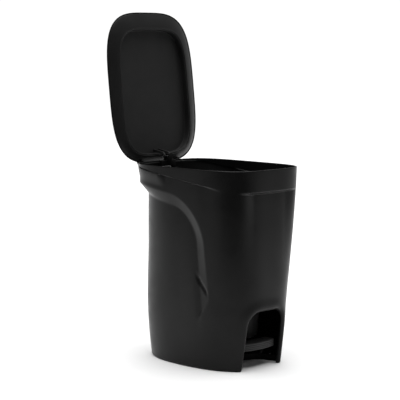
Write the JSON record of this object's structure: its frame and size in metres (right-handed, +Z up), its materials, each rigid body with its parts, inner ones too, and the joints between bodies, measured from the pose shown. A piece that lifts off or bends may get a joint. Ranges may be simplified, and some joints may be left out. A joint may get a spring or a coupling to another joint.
{
  "type": "pedal trash can",
  "caption": "Free-standing kitchen waste bin: tapered moulded shell with inner bucket, hinged domed lid and a foot pedal that lifts the lid through a lever and a wire.",
  "frame": {"origin": "on the flat underside of the base, directly below the centre of the rim", "axes": "+X to the right, +Y to the back where the hinge is, +Z up; the front with the pedal faces -Y"},
  "size_m": [0.244, 0.3731, 0.7082],
  "materials": {
    "shell_plastic": "satin black moulded plastic",
    "liner_plastic": "satin black moulded plastic",
    "panel_plastic": "matte black moulded plastic",
    "bucket_plastic": "matte black moulded plastic",
    "inner_plastic": "matte black moulded plastic",
    "tread_plastic": "satin black moulded plastic, ribbed",
    "bush_plastic": "natural white low-friction plastic",
    "steel": "drawn steel, zinc plated",
    "screw_steel": "zinc plated",
    "foot_rubber": "matte black rubber"
  },
  "bodies": {
    "root": {"outer_shell": "shell_plastic", "base_tray": "inner_plastic", "inner_bucket": "bucket_plastic", "hinge_pin_left": "steel", "hinge_pin_right": "steel", "lifter_guide": "inner_plastic", "wire_guide": "inner_plastic", "guide_screws": "screw_steel", "base_screws": "screw_steel", "axle_bush_left": "bush_plastic", "axle_bush_right": "bush_plastic", "foot_front_left": "foot_rubber", "foot_front_right": "foot_rubber", "foot_rear_left": "foot_rubber", "foot_rear_right": "foot_rubber"},
    "lid": {"lid_cover": "shell_plastic", "lid_liner": "liner_plastic", "lid_panel": "panel_plastic", "lug_pin": "steel"},
    "lift_rod": {"lifting_wire": "steel", "lifter": "inner_plastic"},
    "pedal": {"pedal_lever": "inner_plastic", "pedal_tread": "tread_plastic", "pedal_axle": "steel"}
  },
  "joints": [
    {"name": "lid_hinge", "type": "hinge", "parent": "root", "child": "lid", "pos_m": [0, 0.16, 0.3947], "axis": [1, 0, 0], "range_deg": [0, 96.7]},
    {"name": "rod_slide", "type": "slide", "parent": "root", "child": "lift_rod", "axis": [0, 0, -1], "range_m": [0, 0.0299]},
    {"name": "pedal_pivot", "type": "hinge", "parent": "root", "child": "pedal", "pos_m": [0, 0, 0.022], "axis": [-1, 0, 0], "range_deg": [0, 11.88]}
  ],
  "couplings": [
    {"joint": "rod_slide", "follows": "lid_hinge", "m_per_rad": 0.017709},
    {"joint": "pedal_pivot", "follows": "lid_hinge", "ratio": 0.12275}
  ]
}
